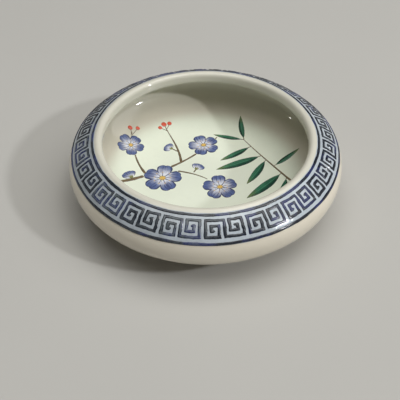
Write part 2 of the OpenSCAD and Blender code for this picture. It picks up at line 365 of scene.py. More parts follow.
def revolved(name, loop, turns=GLAZE_TURNS):
    """A closed loop in section turned round the axis. A point on the axis becomes one vertex."""
    ways = [2 * pi * k / turns for k in range(turns)]
    verts, rings = [], []
    for r, z in loop:
        first = len(verts)
        if r < ON_AXIS:
            verts.append((0.0, 0.0, z))
            rings.append([first] * turns)
        else:
            verts += [(r * cos(a), r * sin(a), z) for a in ways]
            rings.append(list(range(first, len(verts))))
    return new_piece(name, verts, joined(rings))


class Coats:
    """Collects thin coats of enamel for one mesh: grids of x, y, height and named values."""

    def __init__(self, *grids, sink=SINK, names=("along", "across")):
        self.sink, self.names = sink, names
        self.verts, self.faces, self.values = [], [], []
        for rows in grids:
            self.add(rows)

    def add(self, rows, place=None, closed=False):
        """Adds one coat, its lower face sunk in what it lies on. A row in one spot is one point."""
        rings = []
        for row in rows:
            under = [(x, y, -self.sink, *values) for x, y, h, *values in reversed(row)]
            known, ring = {}, []
            for x, y, h, *values in row + under:
                spot = x, y, h
                if spot not in known:
                    known[spot] = len(self.verts)
                    self.verts.append(place(*spot) if place else spot)
                    self.values.append(values)
                ring.append(known[spot])
            rings.append(ring)
        self.faces += joined(rings, closed)
        ends = () if closed else ((rings[0], 1), (rings[-1], -1))
        for ring, way in ends:
            for j in range(len(ring) // 2 - 1):
                end = ring[j], ring[-1 - j], ring[-2 - j], ring[j + 1]
                self.faces.append(end[::way])

    def piece(self, name):
        """The coats as one object."""
        return new_piece(name, self.verts, self.faces, dict(zip(self.names, zip(*self.values))))


def dome(u, power=3.0):
    """Height across a brush stroke, full in the middle and round at its edges."""
    return sqrt(max(0.0, 1 - abs(u) ** power))


def wobble(seed, *at):
    """Smooth noise from -1 to 1 at a place."""
    x, y, z = (*at, 0.0, 0.0)[:3]
    return noise.noise(Vector((x + 7.3 * seed, y - 3.1 * seed, z + 1.7 * seed)))


def spread(columns):
    """Places across a stroke, from -1 to 1."""
    return [2 * j / (columns - 1) - 1 for j in range(columns)]


def round_end(near, least):
    """Share of a stroke's width near its round end, from the distance in half widths."""
    return sqrt(max(least, 1 - (1 - min(near, 1.0)) ** 2))


def shifted(rows, dx, dy=0.0):
    """A coat moved in plan."""
    return [[(x + dx, y + dy, *rest) for x, y, *rest in row] for row in rows]


def stroke_rows(points, half, height, seed, columns=7, taper=True):
    """Rows of a brush stroke along points in plan, with a half width for each point."""
    reach = [0.0]
    for a, b in zip(points, points[1:]):
        reach.append(reach[-1] + dist(a, b))
    rows = []
    for (x, y), (dx, dy), h, s in zip(points, headings(points), half, reach):
        w = h * (1 + STROKE_WAVER * wobble(seed, s / MM * STROKE_PACE))
        full = round_end(min(s, reach[-1] - s) / max(h, TINY), 0.0004) if taper else 1.0
        rows.append([(x - dy * u * w * full, y + dx * u * w * full, height * full * dome(u),
                      s / reach[-1], u) for u in spread(columns)])
    return rows


def blade_rows(size, half, widest, height, seed, point=0.5, notch=0.0, bend=0.0,
               rows=16, columns=9):
    """Rows of a petal, leaf or dot that starts at the origin and runs along X."""
    edge_waver, notch_w = 0.06, 0.22
    out = []
    for i in range(rows):
        v = 0.5 - 0.5 * cos(pi * i / (rows - 1))
        d = (v - widest) / (widest if v < widest else 1 - widest)
        full = max(1 - d * d, 0.0)
        w = half * full**point
        row = []
        for u in spread(columns):
            edge = 1 + edge_waver * wobble(seed, v * 5, u * 1.3)
            x = size * (v - notch * v**5 * exp(-((u * w / half / notch_w) ** 2)))
            y = u * w * edge + bend * sin(pi * v)
            row.append((x, y, height * dome(u) * min(1.0, full**0.25), v, u))
        out.append(row)
    return out


class Wire:
    """A socket of a node tree that takes part in Python expressions."""

    def __init__(self, tree, socket):
        self.tree, self.socket = tree, socket

    @staticmethod
    def pick(sockets, key):
        """The socket with that number, identifier or name."""
        for socket in sockets:
            if socket.identifier == key:
                return socket
        return sockets[key]

    @classmethod
    def add(cls, tree, kind, sockets=None, out=0, **settings):
        """A new node of that kind with its settings, then its sockets, as one of its outputs."""
        node = tree.nodes.new(kind)
        for key, value in settings.items():
            setattr(node, key, value)
        for key, value in (sockets or {}).items():
            socket = cls.pick(node.inputs, key)
            if isinstance(value, Wire):
                tree.links.new(value.socket, socket)
            else:
                socket.default_value = value
        return cls(tree, cls.pick(node.outputs, out)) if len(node.outputs) else node

    @classmethod
    def xyz(cls, tree, *parts):
        """A vector from its parts."""
        return cls.add(tree, "ShaderNodeCombineXYZ", dict(enumerate(parts)))

    def other(self, out):
        """Another output of the same node."""
        return Wire(self.tree, self.pick(self.socket.node.outputs, out))

    def math(self, operation, *values):
        return Wire.add(self.tree, "ShaderNodeMath", dict(enumerate(values)), operation=operation)

    def vector(self, operation, *values, out=0):
        return Wire.add(self.tree, "ShaderNodeVectorMath", dict(enumerate(values)), out,
                        operation=operation)

    def blend(self, a, b):
        """Colour a where this value is 0 and b where it is 1."""
        colours = {"Factor_Float": self, "A_Color": a, "B_Color": b}
        return Wire.add(self.tree, "ShaderNodeMix", colours, "Result_Color", data_type="RGBA")

    def span(self, low, high):
        """0 up to low, 1 from high, smooth between."""
        return Wire.add(self.tree, "ShaderNodeMapRange", {
            "Value": self, "From Min": low, "From Max": high}, "Result",
            interpolation_type="SMOOTHSTEP")

    def clouds(self, scale, detail=3.0, rough=0.5):
        """Noise from 0 to 1 over this vector."""
        return Wire.add(self.tree, "ShaderNodeTexNoise", {
            "Vector": self, "Scale": scale, "Detail": detail, "Roughness": rough}, "Fac")

    def __add__(self, other):
        return self.math("ADD", self, other)

    def __sub__(self, other):
        return self.math("SUBTRACT", self, other)

    def __rsub__(self, other):
        return self.math("SUBTRACT", other, self)

    def __mul__(self, other):
        return self.math("MULTIPLY", self, other)

    def __truediv__(self, other):
        return self.math("DIVIDE", self, other)

    def __pow__(self, other):
        return self.math("POWER", self, other)

    def __abs__(self):
        return self.math("ABSOLUTE", self)

    __radd__ = __add__
    __rmul__ = __mul__


class Finish:
    """A material with a Principled shader, and the coordinates its pattern is drawn on."""

    def __init__(self, name):
        self.material = bpy.data.materials.new(name)
        self.material.use_nodes = True
        self.tree = self.material.node_tree
        self.shader = self.tree.nodes["Principled BSDF"]
        self.at = Wire.add(self.tree, "ShaderNodeTexCoord", None, "Object")

    def axis(self, name):
        """One of the coordinates."""
        return Wire.add(self.tree, "ShaderNodeSeparateXYZ", {"Vector": self.at}, name)

    def attribute(self, name):
        """A number stored on the piece's points."""
        return Wire.add(self.tree, "ShaderNodeAttribute", None, "Fac", attribute_name=name)

    def feed(self, socket, wire):
        """Links a value or colour to the shader."""
        self.tree.links.new(wire.socket, self.shader.inputs[socket])

    def done(self, colour, roughness, height, strength, depth):
        """The material with its colour, its roughness and relief from a height of 0 to 1."""
        self.feed("Base Color", colour)
        self.feed("Roughness", roughness)
        self.feed("Normal", Wire.add(self.tree, "ShaderNodeBump", {
            "Strength": strength, "Distance": depth, "Height": height}, "Normal"))
        return self.material


def rgba(colour, light=1.0):
    """A panel colour as four numbers, lighter or darker."""
    return tuple(min(1.0, c * light) for c in colour) + (1.0,)


def glaze_finish(name, colour, speck, *zones):
    """Clear glaze on porcelain: faint clouds, iron specks, a slow ripple, and painted shade as
    other tones higher up.
    """
    f = Finish(name)
    clouds = f.at.clouds(28, 4)
    fine = f.at.clouds(420, 3)

    def coat(hue):
        cloudy = clouds.span(0.3, 0.72).blend(rgba(hue, 0.965), rgba(hue, 1.03))
        return (fine.span(0.45, 0.8) * 0.35).blend(cloudy, rgba(hue, 0.95))

    tone = coat(colour)
    # Each zone paints shade onto the glaze: another tone between two heights.
    for low, high, hue in zones:
        tone = f.axis("Z").span(low, high).blend(tone, coat(hue))
    cells = Wire.add(f.tree, "ShaderNodeTexVoronoi", {"Vector": f.at, "Scale": 150.0}, "Distance")
    chance = Wire.add(f.tree, "ShaderNodeSeparateColor", {"Color": cells.other("Color")})
    dots = (1 - cells.span(0.015, 0.05)) * chance.span(0.86, 0.9) * speck
    ripple = f.at.clouds(170, 2) + 0.12 * fine
    return f.done(dots.blend(tone, IRON), 0.03 + 0.06 * clouds, ripple, 0.25, 0.04 * MM)


def biscuit_finish(name, c):
    """Bare fired body: dry grain, small pores and a rusty line beside the glaze."""
    f = Finish(name)
    grain = f.at.clouds(2600, 4)
    z = f.axis("Z")
    above, below = z.span(0.4 * MM, 1.0 * MM), 1 - z.span(1.1 * MM, 1.9 * MM)
    burn = above * below * (0.35 + 0.65 * f.at.clouds(90, 4))
    tone = grain.span(0.3, 0.75).blend(rgba(c.biscuit, 0.82), rgba(c.biscuit, 1.06))
    return f.done((0.55 * burn).blend(tone, RUST), 0.72 + 0.2 * grain, grain, 0.5, 0.08 * MM)


def wash_finish(name, c):
    """Thin pale blue wash, laid on in streaks round the shoulder, with painted light that makes it
    paler to the right.
    """
    f = Finish(name)
    streak = f.at.clouds(260, 5, 0.6)
    pool = f.at.clouds(700, 3)
    # Painted light: the last term makes the wash paler to the right, where the window lights it.
    load = 0.4 * streak + 0.35 * f.at.clouds(45, 2) + 0.25 * f.axis("X").span(-60 * MM, 50 * MM)
    tone = load.span(0.3, 0.7).blend(rgba(c.wash, 0.78), rgba(c.wash, 1.16))
    tone = (pool.span(0.52, 0.72) * 0.4).blend(tone, rgba(c.wash, 0.72))
    relief = pool + 0.4 * f.at.clouds(1500, 2)
    return f.done(tone, 0.06 + 0.1 * pool, relief, 0.9, 0.08 * MM)


def cobalt_finish(name, c, wear):
    """Raised dark blue enamel: blue in patches, grey on its crest, with painted shade keeping it
    less grey at the front right.
    """
    f = Finish(name)
    patches = f.at.clouds(150, 2)
    clouds = f.at.clouds(560, 4, 0.6)
    grain = f.at.clouds(2400, 3)
    crest = 1 - abs(f.attribute("across")) ** 2.0
    key = f.attribute("tone")
    tone = (patches + 0.2 * key).span(0.57, 0.76).blend(rgba(c.navy), rgba(c.cobalt))
    # Painted shade: the crest is less grey at the front right, where the lamps' reflection lightens
    # the strokes.
    front_right_shade = (f.axis("X") - f.axis("Y")).span(50 * MM, 70 * MM)
    worn = (0.55 * crest + 1.1 * clouds).span(0.76, 1.2) * (0.3 + 0.5 * key)
    tone = (worn * (1 - 0.7 * front_right_shade) * wear).blend(tone, rgba(c.steel))
    tone = (grain.span(0.52, 0.8) * 0.2).blend(tone, rgba(c.steel, 1.2))
    return f.done(tone, 0.07 + 0.12 * clouds, grain + 2.0 * clouds, 0.35, 0.06 * MM)


def petal_finish(name, c):
    """Blossom enamel: white at the heart, blue outward, veined, with an ink edge."""
    f = Finish(name)
    along, across, own = map(f.attribute, ("along", "across", "tone"))
    veins = Wire.xyz(f.tree, across * 5.0, along * 0.9, own * 9.0).clouds(1.6, 3)
    clouds = f.at.clouds(420, 3)
    load = along + 0.5 * clouds + 0.3 * own - 0.35
    tone = load.span(0.1, 0.85).blend(PETAL_WHITE, rgba(c.petal))
    drawn = veins.span(0.45, 0.62) * along.span(0.05, 0.5) * 0.7
    tone = drawn.blend(tone, rgba(c.petal_deep))
    rim = (abs(across) + 0.2 * clouds).span(0.86, 1.0) + (along + 0.08 * clouds).span(0.94, 1.02)
    tone = (rim.math("MINIMUM", rim, 1.0) * 0.9).blend(tone, rgba(c.petal_deep, 0.8))
    return f.done(tone, 0.16 + 0.14 * clouds, veins, 0.2, 0.05 * MM)


def leaf_finish(name, c):
    """Leaf enamel: dark at the root and along one side, with a pale rib and slanting veins."""
    f = Finish(name)
    along, across, own = map(f.attribute, ("along", "across", "tone"))
    clouds = f.at.clouds(300, 4)
    veins = Wire.xyz(f.tree, along * 26.0 - 9.0 * abs(across), own * 5.0).clouds(1.0, 1)
    dark = (0.75 - 0.5 * along + 0.3 * across + 0.5 * clouds).span(0.35, 1.1)
    tone = (along + 0.3 * clouds).span(0.75, 1.15).blend(rgba(c.leaf, 1.15), rgba(c.olive))
    tone = dark.blend(tone, rgba(c.leaf_dark))
    tone = (veins.span(0.5, 0.66) * 0.4).blend(tone, rgba(c.leaf_dark))
    rib = (1 - abs(across).span(0.03, 0.12)) * 0.6
    tone = rib.blend(tone, rgba(c.leaf, 1.9))
    rim = (abs(across) + 0.2 * clouds).span(0.85, 1.0) * 0.75
    tone = rim.blend(tone, rgba(c.leaf_dark, 0.7))
    return f.done(tone, 0.16 + 0.14 * clouds, veins, 0.15, 0.05 * MM)


def plain_enamel(name, colour, shade, scale):
    """Enamel of one colour that darkens to its edges, with the brush's uneven load."""
    f = Finish(name)
    clouds = f.at.clouds(scale, 4, 0.6)
    dark = (0.55 * abs(f.attribute("across")) ** 2.0 + 0.8 * clouds).span(0.35, 1.0)
    tone = dark.blend(rgba(colour, 1.2), rgba(colour, shade))
    return f.done(tone, 0.18 + 0.16 * clouds, clouds, 0.25, 0.05 * MM)


def tree_with(name, inputs):
    """An empty geometry tree with those named inputs, and its input node's geometry."""
    tree = bpy.data.node_groups.new(name, "GeometryNodeTree")
    tree.interface.new_socket("Geometry", in_out="INPUT", socket_type="NodeSocketGeometry")
    for key, kind in inputs.items():
        tree.interface.new_socket(key, in_out="INPUT", socket_type="NodeSocket" + kind)
    tree.interface.new_socket("Geometry", in_out="OUTPUT", socket_type="NodeSocketGeometry")
    return tree, Wire.add(tree, "NodeGroupInput", None, "Geometry")


def toned(tree, copies, seed):
    """Gives each copy a tone by chance and turns the copies into plain geometry."""
    tone = Wire.add(tree, "FunctionNodeRandomValue", {"Seed": seed}, 1)
    copies = Wire.add(tree, "GeometryNodeStoreNamedAttribute",
                      {"Geometry": copies, "Name": "tone", "Value": tone}, domain="INSTANCE")
    return Wire.add(tree, "GeometryNodeRealizeInstances", {"Geometry": copies})


def end_tree(tree, geometry, spots, material):
    """Moves the points to their spots and closes a tree with its material."""
    moved = Wire.add(tree, "GeometryNodeSetPosition", {"Geometry": geometry, "Position": spots})
    plain = Wire.add(tree, "GeometryNodeRealizeInstances", {"Geometry": moved})
    done = Wire.add(tree, "GeometryNodeSetMaterial", {"Geometry": plain, "Material": material})
    Wire.add(tree, "NodeGroupOutput", {"Geometry": done})


def run_tree(piece, tree, values):
    """Runs a tree on a piece with its inputs set, and keeps the result as its plain mesh."""
    step = piece.modifiers.new(tree.name, "NODES")
    step.node_group = tree
    for item in tree.interface.items_tree:
        if item.in_out == "INPUT" and item.name in values:
            step[item.identifier] = values[item.name]
    graph = bpy.context.evaluated_depsgraph_get()
    mesh = bpy.data.meshes.new_from_object(
        piece.evaluated_get(graph), preserve_all_data_layers=True, depsgraph=graph)
    piece.modifiers.remove(step)
    piece.data = mesh
    mesh.name = piece.name


def ring_of_keys():
    """Tree that repeats one key round the axis and lets its strokes stray along the shoulder."""
    tree, key = tree_with("ring_of_keys", {
        "Keys": "Int", "Waver": "Float", "Shoulder Out": "Float", "Shoulder Up": "Float",
        "Shoulder Radius": "Float", "Seed": "Int", "Enamel": "Material"})
    add = partial(Wire.add, tree)
    count, far = key.other("Keys"), key.other("Shoulder Out")
    index = add("GeometryNodeInputIndex")
    seats = add("GeometryNodeMeshLine", {"Count": count, "Offset": (0, 0, 0)})
    turn = Wire.xyz(tree, 0, 0, index / count * (-2 * pi))
    ring = add("GeometryNodeInstanceOnPoints", {
        "Points": seats, "Instance": key, "Rotation": turn})
    ring = toned(tree, ring, key.other("Seed"))
    place = add("GeometryNodeInputPosition")
    seed = key.other("Seed") * 3.7

    def stray(offset):
        drift = add("ShaderNodeTexNoise", {
            "Vector": place, "W": seed + offset, "Scale": 330.0, "Detail": 2.0},
            noise_dimensions="4D")
        return (drift - 0.5) * key.other("Waver") * 4.0

    out = place.vector("NORMALIZE", place.vector("MULTIPLY", place, (1, 1, 0)))
    along = out.vector("CROSS_PRODUCT", (0, 0, 1), out)
    hub = Wire.xyz(tree, 0, 0, key.other("Shoulder Up"))
    middle = add("ShaderNodeVectorMath", {0: out, "Scale": far}, operation="SCALE")
    slid = add("ShaderNodeVectorRotate", {
        "Vector": place, "Center": middle.vector("ADD", middle, hub), "Axis": along,
        "Angle": stray(0.0) / key.other("Shoulder Radius")}, rotation_type="AXIS_ANGLE")
    slid = add("ShaderNodeVectorRotate", {"Vector": slid, "Angle": stray(5.0) / far},
               rotation_type="Z_AXIS")
    end_tree(tree, ring, slid, key.other("Enamel"))
    return tree


def laid_inside():
    """Tree that sets copies of a painted shape on seats, bent onto the floor and lower wall."""
    tree, seats = tree_with("laid_inside", {
        "Shape": "Object", "Flat Radius": "Float", "Wall Radius": "Float", "Floor": "Float",
        "Seed": "Int", "Enamel": "Material"})
    add = partial(Wire.add, tree)
    shape = add("GeometryNodeObjectInfo", {"Object": seats.other("Shape")}, "Geometry")
    size, turn = (add("GeometryNodeInputNamedAttribute", {"Name": name})
                  for name in ("size", "turn"))
    copies = add("GeometryNodeInstanceOnPoints", {
        "Points": seats, "Instance": shape, "Scale": Wire.xyz(tree, size, size, 1.0),
        "Rotation": Wire.xyz(tree, 0, 0, turn)})
    copies = toned(tree, copies, seats.other("Seed"))
    place = add("GeometryNodeInputPosition")
    x = add("ShaderNodeSeparateXYZ", {"Vector": place})
    y, lift = x.other("Y"), x.other("Z")
    flat = place.vector("MULTIPLY", place, (1, 1, 0))
    reach = flat.vector("LENGTH", flat, out="Value")
    rim, wall = seats.other("Flat Radius"), seats.other("Wall Radius")
    past = reach.math("MAXIMUM", reach - rim, 0.0)
    climb = past.math("ARCSINE", past / wall)
    radius = reach.math("MINIMUM", reach, rim) + (wall - lift) * climb.math("SINE", climb)
    height = seats.other("Floor") + wall - (wall - lift) * climb.math("COSINE", climb)
    ratio = radius / reach.math("MAXIMUM", reach, 1e-6)
    end_tree(tree, copies, Wire.xyz(tree, x * ratio, y * ratio, height), seats.other("Enamel"))
    return tree


KEY_COLUMNS, KEY_ROWS = 14, 7
# Half a key in grid squares, from the hook at its heart outward. The rest is the same, turned round
CURL = [(2.92, 2.5), (2.3, 2.5), (2.3, 4.5), (4.7, 4.5),
        (4.7, 0.5), (0.5, 0.5), (0.5, 6.5), (6.5, 6.5)]
KEY_PATH = CURL + [(KEY_COLUMNS - 1 - x, KEY_ROWS - y) for x, y in reversed(CURL)]
# Points across a stroke of the keys and in a square along it, and rows that its round ends take
KEY_LANES, KEY_STEPS, TIP_ROWS = 7, 6, 2
# Blossoms, half-open buds, leaves and berries: place in shares of the mouth's radius, size, turn
BLOSSOMS = [(-0.44, 0, 1, 10), (-0.02, 0.53, 0.83, 40), (-0.8, 0.49, 0.72, 62),
            (0.15, -0.13, 0.89, 25)]
BUDS = [(-0.75, 0.0, 0.56, 128), (-0.35, 0.46, 0.5, 150), (-0.1, 0.13, 0.5, 62)]
LEAVES = [(0.769, 0.062, 0.8, 225), (0.828, -0.012, 0.7, 255), (0.568, 0.345, 0.8, 205),
          (0.626, 0.268, 0.65, 240), (0.736, 0.21, 0.5, 35), (0.391, 0.628, 0.5, 165),
          (0.417, 0.65, 0.5, 95), (0.466, 0.493, 0.6, 215)]
BERRIES = [(-0.46, 0.84, 1, 0), (-0.4, 0.86, 0.85, 0), (-0.5, 0.79, 0.77, 0),
           (-0.82, 0.71, 0.85, 0), (-0.74, 0.73, 0.77, 0)]
# Where the stalk of each berry leaves the twig, and the stem of each bud, with their half widths
STALKS = [(-0.43, 0.775), (-0.43, 0.775), (-0.42, 0.755), (-0.805, 0.62), (-0.8, 0.62)]
STEMS = [(-0.72, -0.035), (-0.295, 0.42), (-0.12, 0.092)]
STALK_HALF, STEM_HALF = 0.16 * MM, 0.3 * MM
# Stalk of a leaf: how far outside the blade it starts, spacing of its points, half its width
LEAF_STALK, LEAF_STEP, LEAF_HALF = 1.5 * MM, 0.3 * MM, 0.2 * MM
# Twigs: control points of a cubic curve, the thick one first, and points along each
TWIGS = [((-1.02, -0.13), (-0.62, 0.04), (-0.22, 0.13), (0.13, 0.67)),
         ((-0.604, 0.044), (-0.69, 0.18), (-0.76, 0.31), (-0.8, 0.67)),
         ((-0.254, 0.246), (-0.27, 0.42), (-0.34, 0.6), (-0.44, 0.8)),
         ((-0.427, 0.133), (-0.27, 0.11), (-0.1, 0.08), (0.03, -0.02)),
         ((0.98, -0.22), (0.8, 0.1), (0.62, 0.3), (0.42, 0.62))]
TWIG_STEPS = 120
# In shares of a blossom's diameter: start of a petal, heart, dots on the stamens, gap to a twig
PETAL_START, HEART_R, DOT_R, CLEAR = 0.085, 0.08, 0.022, 0.47
STAMENS = 9


def settle(piece, material, slot, *nodes):
    """Gives a finished piece its material and body, and hides the CAD nodes it stands for."""
    if material:
        piece.data.materials.append(material)
    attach(piece, "root")
    if nodes:
        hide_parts(*nodes)


def settings(context):
    """The panel's sizes and colours of the body, and the section that the sizes give."""
    b = context.scene.washer_body
    return b, context.scene.washer_colours, Outline(b)


def quarter(steps):
    """Angles of a quarter turn."""
    return [pi / 2 * k / steps for k in range(steps + 1)]


class WASHER_OT_body(bpy.types.Operator):
    """Gives the fired body its bare finish and turns a worn foot ring"""

    bl_idname = "washer.body"
    bl_label = "Fired Body"

    def execute(self, context):
        b, c, o = settings(context)
        bare = biscuit_finish("bare_biscuit", c)
        for name in ("bowl", "shoulder"):
            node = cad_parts[name]
            node.data.materials.clear()
            node.data.materials.append(bare)
        q = b.foot_round
        loop = [(o.foot_in, b.foot_h)]
        loop += [(o.foot_in + q - q * cos(a), q - q * sin(a)) for a in quarter(6)]
        loop += [(o.foot_out - q + q * sin(a), q - q * cos(a)) for a in quarter(6)]
        loop += [(o.foot_out, b.foot_h + 0.2 * MM)]
        settle(revolved("worn_foot_ring", loop, FOOT_TURNS), bare, "biscuit", "foot_ring")
        return {"FINISHED"}


class WASHER_OT_glaze(bpy.types.Operator):
    """Lays the three coats of clear glaze over the body"""

    bl_idname = "washer.glaze"
    bl_label = "Glaze Coats"

    def execute(self, context):
        b, c, o = settings(context)
        skin = o.skin()
        back = moved_in(skin, b.glaze_t)
        top = max(range(len(skin)), key=lambda i: skin[i][1])
        # Painted shade: the glaze turns greyer over the lip and on the upper wall of the well.
        lip = (o.lip_z - 2 * b.wall_t, o.lip_z, c.lip)
        # Painted shade and painted reflection: low on the wall of the well the glaze turns darker
        # and warmer.
        wall_shade_zone = (o.floor_z + 0.15 * b.wall_t, o.floor_z + b.wall_t, c.wall)
        climb = (o.floor_z + 1.2 * b.wall_t, o.floor_z + 3.5 * b.wall_t, c.lip)
        ivory = glaze_finish("ivory_glaze", c.ivory, 0.8, lip)
        pooled_glaze_and_shade = glaze_finish("well_glaze", c.well, 0.5, wall_shade_zone, climb)
        inner, e, g = o.foot_in - b.glaze_t, BASE_FILLET, b.glaze_t
        base = [(0, b.foot_h), (0, o.base_z), (inner / 2, o.base_z)]
        base += [(inner - e + e * sin(a), o.base_z - e + e * cos(a)) for a in quarter(8)]
        base += [(o.foot_in - g * cos(a), b.bare_h + g - g * sin(a)) for a in quarter(8)]
        base += [(o.foot_in, b.foot_h)]
        well, outside = skin[:top + 1] + back[top::-1], skin[top:] + back[top:][::-1]
        settle(revolved("well_glaze", well), pooled_glaze_and_shade, "clear_glaze", "inner_glaze")
        settle(revolved("outside_glaze", outside), ivory, "clear_glaze", "outer_glaze")
        settle(revolved("underside_glaze", base), ivory, "clear_glaze", "base_glaze")
        return {"FINISHED"}


class WASHER_OT_band(bpy.types.Operator):
    """Paints the pale wash and the two border lines round the shoulder"""

    bl_idname = "washer.band"
    bl_label = "Wash and Lines"

    def execute(self, context):
        b, c, o = settings(context)
        p = context.scene.washer_band
        inner = o.lip_end + p.lip_gap
        outer = inner + 2 * (p.line_w + p.line_gap) + p.key_h - p.line_w
        blue = cobalt_finish("cobalt_lines", c, 0.6)

        def edge(s, seed, x, y):
            slow, quick = wobble(seed, 9 * x, 9 * y), wobble(seed + 3, 40 * x, 40 * y)
            return s + BELT_WAVER * slow + 0.4 * BELT_WAVER * quick

        def belt(name, s0, s1, low, high, seed, columns, power):
            rows = []
            for k in range(BELT_TURNS):
                a = 2 * pi * k / BELT_TURNS
                x, y = cos(a), sin(a)
                left, right = edge(s0, seed, x, y), edge(s1, seed + 5, x, y)
                tone = 0.5 + 0.9 * wobble(seed + 2, 5 * x, 5 * y)
                rows.append([(left + (right - left) * (u + 1) / 2, a,
                              low + (high - low) * dome(u, power), u, tone)
                             for u in spread(columns)])
            coats = Coats(sink=SINK - low, names=("across", "tone"))
            coats.add(rows, o.on_shoulder, True)
            return coats.piece(name)

        wash = belt("pale_wash", inner - p.wash_edge, outer + p.line_w + p.wash_edge,
                    0.0, p.wash_t, 2, 41, WASH_DOME)
        settle(wash, wash_finish("pale_wash", c), "pale_blue_wash", "band_wash")
        for name, s, seed in (("inner_line", inner, 21), ("outer_line", outer, 33)):
            line = belt(name + "_enamel", s + p.line_inset, s + p.line_w,
                        p.wash_t, p.wash_t + p.enamel_t, seed, 9, STROKE_DOME)
            settle(line, blue, "cobalt_enamel", name)
        return {"FINISHED"}


class WASHER_OT_fret(bpy.types.Operator):
    """Draws one key of raised enamel and repeats it round the shoulder"""

    bl_idname = "washer.fret"
    bl_label = "Key Fret"

    def execute(self, context):
        b, c, o = settings(context)
        p = context.scene.washer_band
        row = p.key_h / KEY_ROWS
        first = o.lip_end + p.lip_gap + p.line_w + p.line_gap
        step = 2 * pi / p.key_count / KEY_COLUMNS
        half = p.stroke_w / row / 2
        last = len(KEY_PATH) - 1
        ways = []
        for a, e in zip(KEY_PATH, KEY_PATH[1:]):
            n = dist(a, e)
            ways.append(((e[0] - a[0]) / n, (e[1] - a[1]) / n, n))

        def lane(w):
            """The key's path moved sideways, its corners rounded."""
            corners = []
            for i, q in enumerate(KEY_PATH):
                d0, d1 = ways[max(i - 1, 0)], ways[min(i, last - 1)]
                if i in (0, last):
                    on = -half if i == 0 else half
                    corners.append((q[0] + d0[0] * on - d0[1] * w, q[1] + d0[1] * on + d0[0] * w))
                else:
                    corners.append((q[0] - (d0[1] + d1[1]) * w, q[1] + (d0[0] + d1[0]) * w))
            dots = []
            for a, e, way in zip(corners, corners[1:], ways):
                n = int(round(way[2] * KEY_STEPS))
                dots += [tuple(a[d] + (e[d] - a[d]) * k / n for d in (0, 1)) for k in range(n)]
            dots.append(corners[-1])
            return soften(dots, 1)

        lanes = [lane(-half * u) for u in spread(KEY_LANES)]
        count = len(lanes[0])
        rows = []
        for i in range(count):
            full = round_end(min(i, count - 1 - i) / TIP_ROWS, 0.01)
            thick = 1 + 0.2 * wobble(5, i / KEY_STEPS * 0.8)
            mid = lanes[KEY_LANES // 2][i]
            line = []
            for u, path in zip(spread(KEY_LANES), lanes):
                x, y = (mid[d] + (path[i][d] - mid[d]) * full * thick for d in (0, 1))
                load = dome(u, STROKE_DOME) * (0.35 + 0.65 * full) * (0.9 + 0.1 * wobble(9, i / 9))
                line.append((first + y * row, p.start - (x + 0.5) * step,
                             p.wash_t + p.enamel_t * load, u))
            rows.append(line)
        coats = Coats(sink=SINK - p.wash_t, names=("across",))
        coats.add(rows, o.on_shoulder)
        keys = coats.piece("key_fret_enamel")
        run_tree(keys, ring_of_keys(), {
            "Keys": p.key_count, "Waver": p.waver, "Shoulder Out": o.shoulder_x,
            "Shoulder Up": o.shoulder_z, "Shoulder Radius": b.shoulder_r, "Seed": p.seed,
            "Enamel": cobalt_finish("cobalt_fret", c, 1.0)})
        settle(keys, None, "cobalt_enamel", "key_fret")
        return {"FINISHED"}


